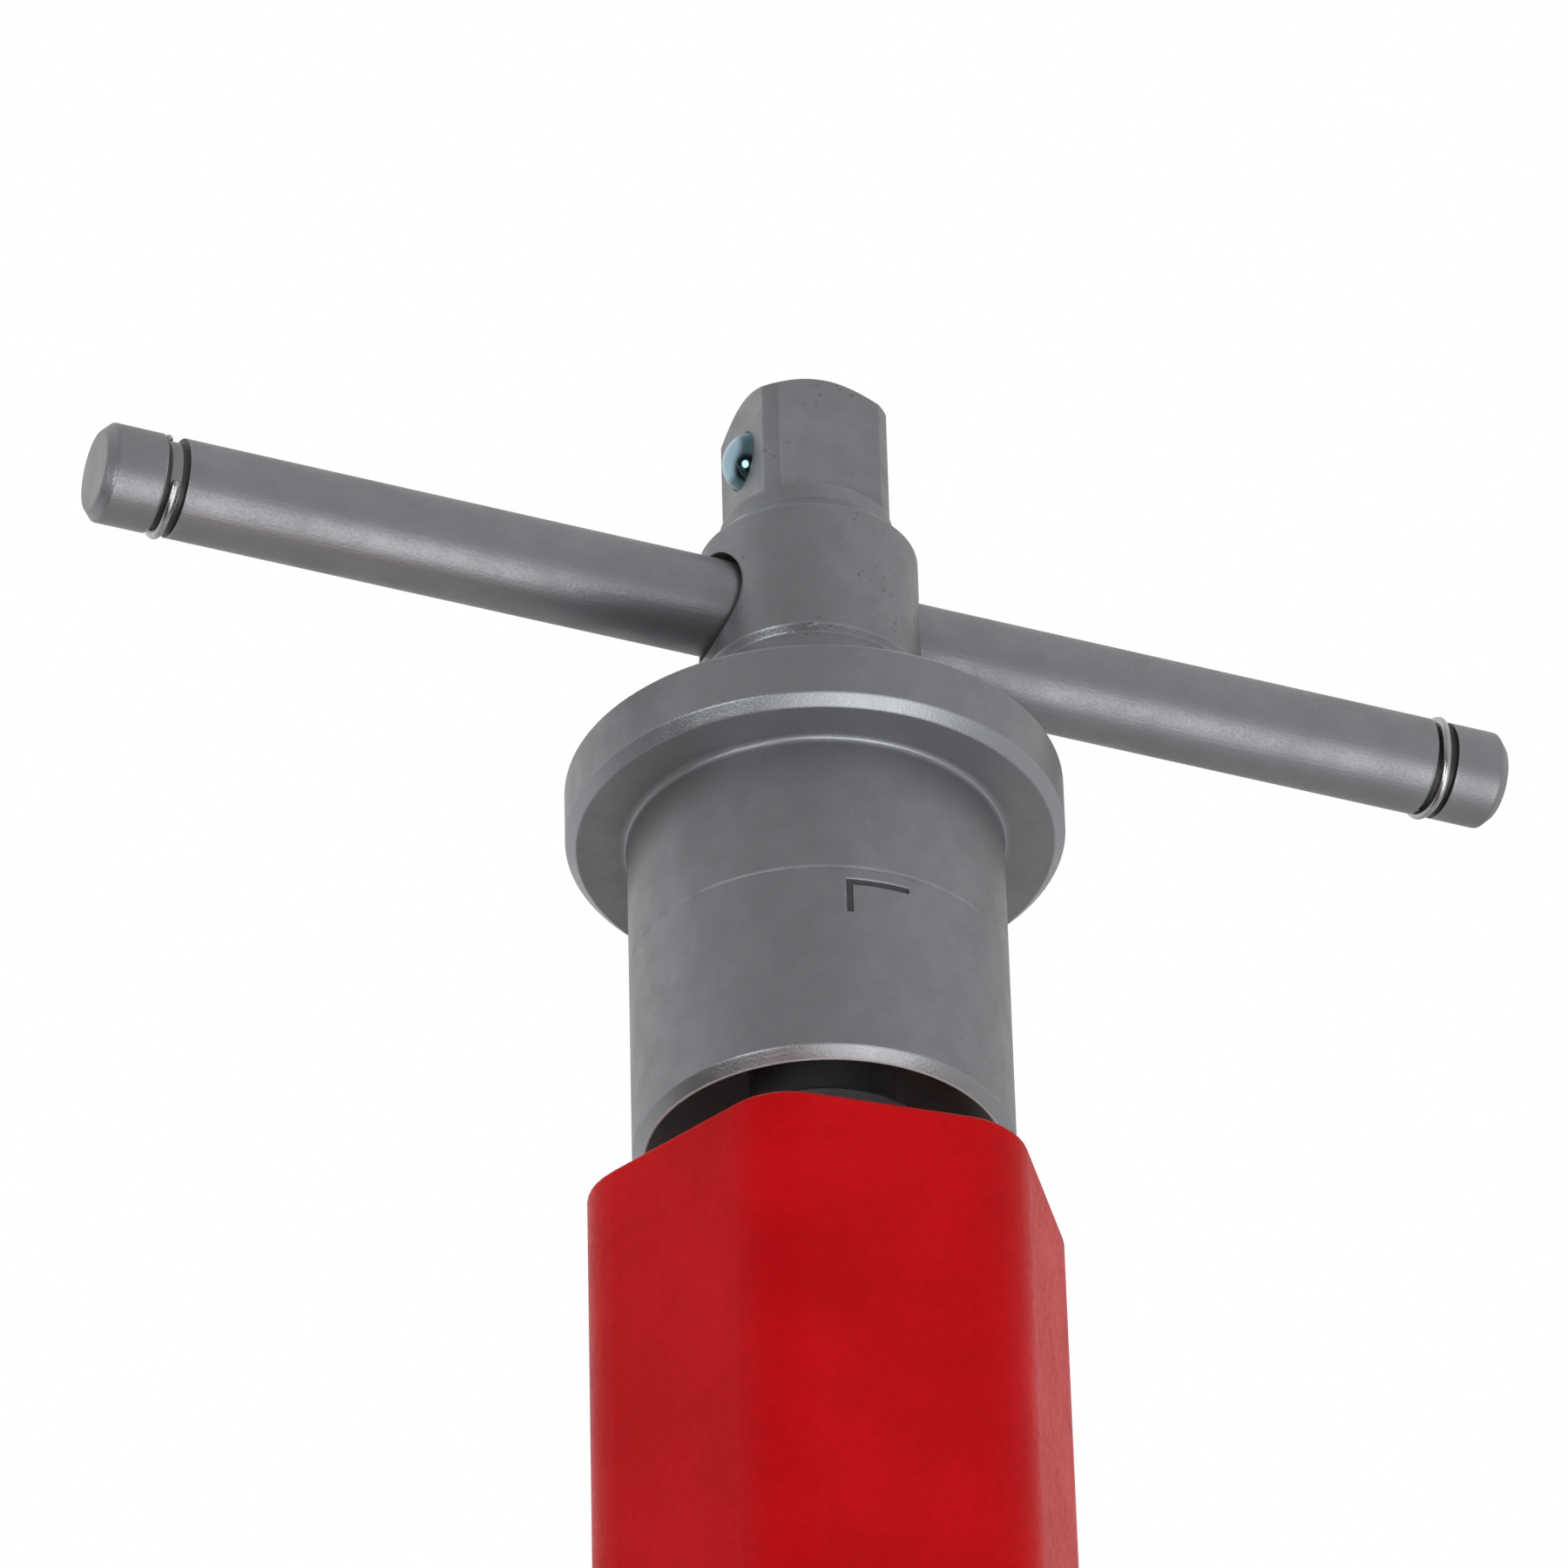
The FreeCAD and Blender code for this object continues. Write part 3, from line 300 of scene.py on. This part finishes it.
# Pits: spacing in millimetres, size and core as shares of it, and the patches they lie in.
PIT_SPACING, PIT_SIZE, PIT_CORE = 1.3, 0.28, 0.4
PIT_PATCH, PIT_PATCH_SPAN = 4.0, (0.5, 0.7)
PIT_PART = 0.6
PIT_COLOR = (0.13, 0.13, 0.135)
PIT_DEPTH = 0.12

# Skirt: heights of the index mark above its foot, radii of the mark's floor and of the bore.
MARK_LOW, MARK_HIGH = 20 * MM, 29.4 * MM
MARK_FLOOR, MARK_EDGE = 25.0 * MM, 25.8 * MM
MARK_COLOR = (0.060, 0.062, 0.068)
BORE_EDGE = 24.6 * MM
# Painted light: a pale matt colour inside the bore stands for light that reaches it.
BORE_PAINTED_LIGHT_COLOR = (0.62, 0.60, 0.60)
FLANGE_DEPTH = 12 * MM

# Bar: ring grooves from its ends, and how far from a groove's middle the painted shade lies along
# the walls.
GROOVE_INSET, GROOVE_TOP = 10 * MM, 6.93 * MM
GROOVE_SHADE_START, GROOVE_SHADE_END = 0.75 * MM, 1.7 * MM
# Painted shade: near-black for the groove corners, where shade falls.
GROOVE_SHADE_COLOR = (0.030, 0.028, 0.031)

# Ball: shares of its radius, towards its tip, where the bright tip ends and the dark flanks
# begin, both a painted reflection.
BRIGHT_TIP, DARK_FLANK = 0.84, 0.66
# Painted reflection: the dark colour of the ball's flanks.
DARK_REFLECTION_COLOR = (0.10, 0.165, 0.195)


def tool_marks(tree, place, kind, pitch):
    """Fine parallel marks: rings about Z where turned, long streaks along X where drawn."""
    x, y, z = split(tree, place)
    if kind == "turned":
        along = add(tree, "CombineXYZ", {0: distance(tree, x, y), 2: z}).outputs[0]
    else:
        slow = calc(tree, "MULTIPLY", x, STREAK)
        along = add(tree, "CombineXYZ", {0: slow, 1: y, 2: z}).outputs[0]
    return noise(tree, along, pitch, detail=MARK_DETAIL)


def chamfers(tree, normal):
    """Where a turned face slopes halfway: the chamfers, polished smoother and given a lighter
    colour as a painted highlight.
    """
    facing = add(tree, "VectorTransform", {0: normal}, vector_type="NORMAL",
                 convert_from="WORLD", convert_to="OBJECT").outputs[0]
    slope = calc(tree, "ABSOLUTE", split(tree, facing)[2])
    return between(tree, slope, CHAMFER_SLOPE - CHAMFER_SPAN, CHAMFER_SLOPE + CHAMFER_SPAN)


def pits(tree, place):
    """Sparse round pits, gathered in patches."""
    cells = add(tree, "TexVoronoi", {"Vector": place, "Scale": 1 / (PIT_SPACING * MM)})
    hole = spread(tree, cells.outputs["Distance"], PIT_SIZE, PIT_SIZE * PIT_CORE)
    return calc(tree, "MULTIPLY", hole,
                spread(tree, noise(tree, place, PIT_PATCH), *PIT_PATCH_SPAN))


# Each zone is a mask, its colour, and whether the colour is a matt film over the metal.


def skirt_zones(tree, place):
    """The inside of the skirt's bore, painted a pale matt colour as painted light, and the filled
    floor of its index mark.
    """
    low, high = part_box("flanged_skirt")
    x, y, z = split(tree, place)
    radius = distance(tree, x, y)
    # Painted light: the pale matt colour covers the bore below the flange.
    bore_painted_light = calc(tree, "MULTIPLY", calc(tree, "LESS_THAN", radius, BORE_EDGE),
                  calc(tree, "LESS_THAN", z, high[2] - FLANGE_DEPTH))
    mark = calc(tree, "MULTIPLY", between(tree, z, low[2] + MARK_LOW, low[2] + MARK_HIGH),
                between(tree, radius, MARK_FLOOR, MARK_EDGE))
    return ((bore_painted_light, BORE_PAINTED_LIGHT_COLOR, True), (mark, MARK_COLOR, True))


def bar_zones(tree, place):
    """Painted shade along the walls of the bar's ring grooves."""
    low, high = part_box("tommy_bar")
    x, y, z = split(tree, place)
    radius = distance(tree, y, calc(tree, "SUBTRACT", z, (low[2] + high[2]) / 2))
    inset = calc(tree, "SUBTRACT", calc(tree, "ABSOLUTE", x), high[0] - GROOVE_INSET)
    walls = between(tree, calc(tree, "ABSOLUTE", inset), GROOVE_SHADE_START, GROOVE_SHADE_END)
    # Painted shade: dark in the groove corners, below the groove's top.
    groove_shade = calc(tree, "MULTIPLY", walls, calc(tree, "LESS_THAN", radius, GROOVE_TOP))
    return ((groove_shade, GROOVE_SHADE_COLOR, True),)


def ball_zones(tree, place):
    """Dark colour down the ball's flanks and the finish's bright colour at its tip, a painted
    reflection.
    """
    low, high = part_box("detent_ball")
    radius = (high[0] - low[0]) / 2
    stand = calc(tree, "SUBTRACT", low[0] + radius, split(tree, place)[0])
    # Painted reflection: dark flanks, bright tip.
    return ((spread(tree, stand, radius * BRIGHT_TIP, radius * DARK_FLANK), DARK_REFLECTION_COLOR, False),)


def make_finish(name, dark, light, metallic, roughness, patch, grain, bump, lines, pitch,
                groove, edge, edge_wear_and_highlight, specular=0.5, zones=None, pitted=False):
    """Mottled finish with grain, tool marks and edges that are rounded off and lighter, part wear
    and part painted highlight.
    """
    material = bpy.data.materials.new(name)
    material.use_nodes = True
    tree = material.node_tree
    shader = tree.nodes["Principled BSDF"]
    place = add(tree, "TexCoord").outputs["Object"]
    cloud = noise(tree, place, patch)
    fleck = noise(tree, place, grain, detail=MARK_DETAIL)
    tone = calc(tree, "ADD", calc(tree, "MULTIPLY", cloud, CLOUD_PART),
                calc(tree, "MULTIPLY", fleck, FLECK_PART))
    tone = spread(tree, tone, *TONE_SPAN)
    height = calc(tree, "MULTIPLY", fleck, bump * MM)
    if lines:
        marks = tool_marks(tree, place, lines, pitch)
        height = calc(tree, "ADD", height, calc(tree, "MULTIPLY", marks, groove * MM))
        tone = calc(tree, "MULTIPLY_ADD", calc(tree, "SUBTRACT", marks, 0.5), MARK_PART, tone)
    color = blended(tree, tone, dark, light)
    if pitted:
        hole = pits(tree, place)
        height = calc(tree, "MULTIPLY_ADD", hole, -PIT_DEPTH * MM, height)
        color = blended(tree, calc(tree, "MULTIPLY", hole, PIT_PART), color, PIT_COLOR)
    rounded = add(tree, "Bevel", {"Radius": edge * MM}, samples=BEVEL_SAMPLES).outputs["Normal"]
    surface = add(tree, "NewGeometry").outputs["Normal"]
    bend = add(tree, "VectorMath", {0: rounded, 1: surface}, operation="DOT_PRODUCT")
    # Lighter edges: part wear, part painted highlight along the rounded edges.
    wear_and_highlight_mask = calc(tree, "MULTIPLY", spread(tree, bend.outputs["Value"], *RIDGE_LEAN),
                 spread(tree, cloud, *RIDGE_PATCHES))
    color = blended(tree, wear_and_highlight_mask, color, edge_wear_and_highlight)
    gloss = calc(tree, "ADD", cloud, fleck)
    shade = spread(tree, gloss, *GLOSS_SPAN, roughness[1], roughness[0])
    if lines == "turned":
        chamfer_polish_and_highlight = chamfers(tree, surface)
        # Painted highlight on the chamfers; their smoother polish below is real.
        color = blended(tree, chamfer_polish_and_highlight, color, CHAMFER_HIGHLIGHT_COLOR)
        shade = calc(tree, "MULTIPLY_ADD", chamfer_polish_and_highlight, -CHAMFER_POLISH, shade)
    shader.inputs["Metallic"].default_value = metallic
    film = None
    for mask, paint, matt in zones(tree, place) if zones else ():
        color = blended(tree, mask, color, paint)
        if matt:
            film = mask if film is None else calc(tree, "MAXIMUM", mask, film)
    if film is not None:
        tree.links.new(spread(tree, film, 0.0, 1.0, metallic, 0.0), shader.inputs["Metallic"])
    tree.links.new(color, shader.inputs["Base Color"])
    tree.links.new(shade, shader.inputs["Roughness"])
    relief = add(tree, "Bump", {"Height": height, "Distance": 1.0, "Strength": 1.0,
                                "Normal": rounded})
    tree.links.new(relief.outputs["Normal"], shader.inputs["Normal"])
    shader.inputs["Specular IOR Level"].default_value = specular
    return material


NODE_SLOTS = {row["node"]: row["material_slot"] for row in frame["record"]["subparts"]}
# Nodes whose finish goes beyond their slot's: the material's name and what it adds.
OWN_FINISHES = {
    "flanged_skirt": ("skirt_steel", {"zones": skirt_zones}),
    "drive_head": ("forged_steel", {"pitted": True}),
    "detent_ball": ("painted_reflection_ball", {"zones": ball_zones}),
    "tommy_bar": ("grooved_bar", {"zones": bar_zones}),
}
made = {}


def finish_of(node):
    """A node's material, made the first time that it is wanted."""
    slot = NODE_SLOTS[node]
    name, extra = OWN_FINISHES.get(node, (slot, {}))
    if name not in made:
        made[name] = make_finish(name, **FINISHES[slot], **extra)
    return made[name]


# ------------------------------------------------------------------ snap rings

WIRE_CIRCLE = 6.87 * MM
WIRE_RADIUS = 0.64 * MM
WIRE_SWEEP = math.radians(252.0)
WIRE_STEPS = 120
WIRE_SIDES = 20
CAP_STEPS = 6
CAP_TIP = 0.001 * MM
# The ring leans along the bar in a wave of its turn, and outwards on the whole.
WAVE_RATE, WAVE_START, WAVE_SHIFT = 2.6, 0.6, 0.75
LEFT_START, LEFT_WANDER = math.radians(305), 0.12 * MM
RIGHT_START, RIGHT_WANDER = math.radians(178), 0.22 * MM


def wire_rings():
    """Turn and radius of each ring of points along the wire, with its two rounded ends."""
    for step in range(-CAP_STEPS, WIRE_STEPS + CAP_STEPS + 1):
        inner = min(max(step, 0), WIRE_STEPS)
        past = math.radians(90) * abs(step - inner) / CAP_STEPS
        reach = WIRE_RADIUS * math.sin(past) * (1 if step > inner else -1) / WIRE_CIRCLE
        turn = inner / WIRE_STEPS * WIRE_SWEEP + reach
        yield turn, max(WIRE_RADIUS * math.cos(past), CAP_TIP)


def make_snap_ring(node, start, wander):
    """Round wire bent into an open ring with rounded ends, a little out of true."""
    low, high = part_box(node)
    middle = (low[0] + high[0]) / 2
    outer = math.copysign(1.0, middle)
    bar_low, bar_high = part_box("tommy_bar")
    height = (bar_low[2] + bar_high[2]) / 2
    points, faces = [], []
    for turn, radius in wire_rings():
        outward = Vector((0, math.sin(start + turn), -math.cos(start + turn)))
        drift = outer * wander * (WAVE_SHIFT + math.sin(WAVE_RATE * turn + WAVE_START))
        centre = Vector((middle + drift, 0, height)) + outward * WIRE_CIRCLE
        for side in range(WIRE_SIDES):
            around = 2 * math.pi * side / WIRE_SIDES
            spoke = outward * math.cos(around) + Vector((1, 0, 0)) * math.sin(around)
            points.append(centre + spoke * radius)
    last = len(points) - WIRE_SIDES
    for first in range(0, last, WIRE_SIDES):
        for side in range(WIRE_SIDES):
            following = (side + 1) % WIRE_SIDES
            faces.append((first + side, first + following, first + WIRE_SIDES + following,
                          first + WIRE_SIDES + side))
    faces.append(tuple(range(WIRE_SIDES))[::-1])
    faces.append(tuple(range(last, last + WIRE_SIDES)))
    mesh = bpy.data.meshes.new(f"{node}_wire")
    mesh.from_pydata(points, [], faces)
    mesh.update()
    for face in mesh.polygons:
        face.use_smooth = True
    mesh.materials.append(finish_of(node))
    piece = bpy.data.objects.new(f"{node}_wire", mesh)
    bpy.context.scene.collection.objects.link(piece)
    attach(piece, "tbar")
    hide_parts(node)


# ------------------------------------------------------------------ detent spring


def make_detent_spring():
    """The coil as a piece of its own, carried by the head, with its own copy of the mesh."""
    coil = nodes["detent_spring"]
    piece = bpy.data.objects.new("detent_spring_coil", coil.data.copy())
    bpy.context.scene.collection.objects.link(piece)
    piece.matrix_world = coil.matrix_world
    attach(piece, "head")
    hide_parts("detent_spring")
    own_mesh(piece)


# ------------------------------------------------------------------ scene

make_camera()
make_world()
make_floor()
bpy.context.scene.view_settings.view_transform = "Standard"

for name, item in nodes.items():
    item.data.materials.clear()
    item.data.materials.append(finish_of(name))

make_snap_ring("left_snap_ring", LEFT_START, LEFT_WANDER)
make_snap_ring("right_snap_ring", RIGHT_START, RIGHT_WANDER)
make_detent_spring()
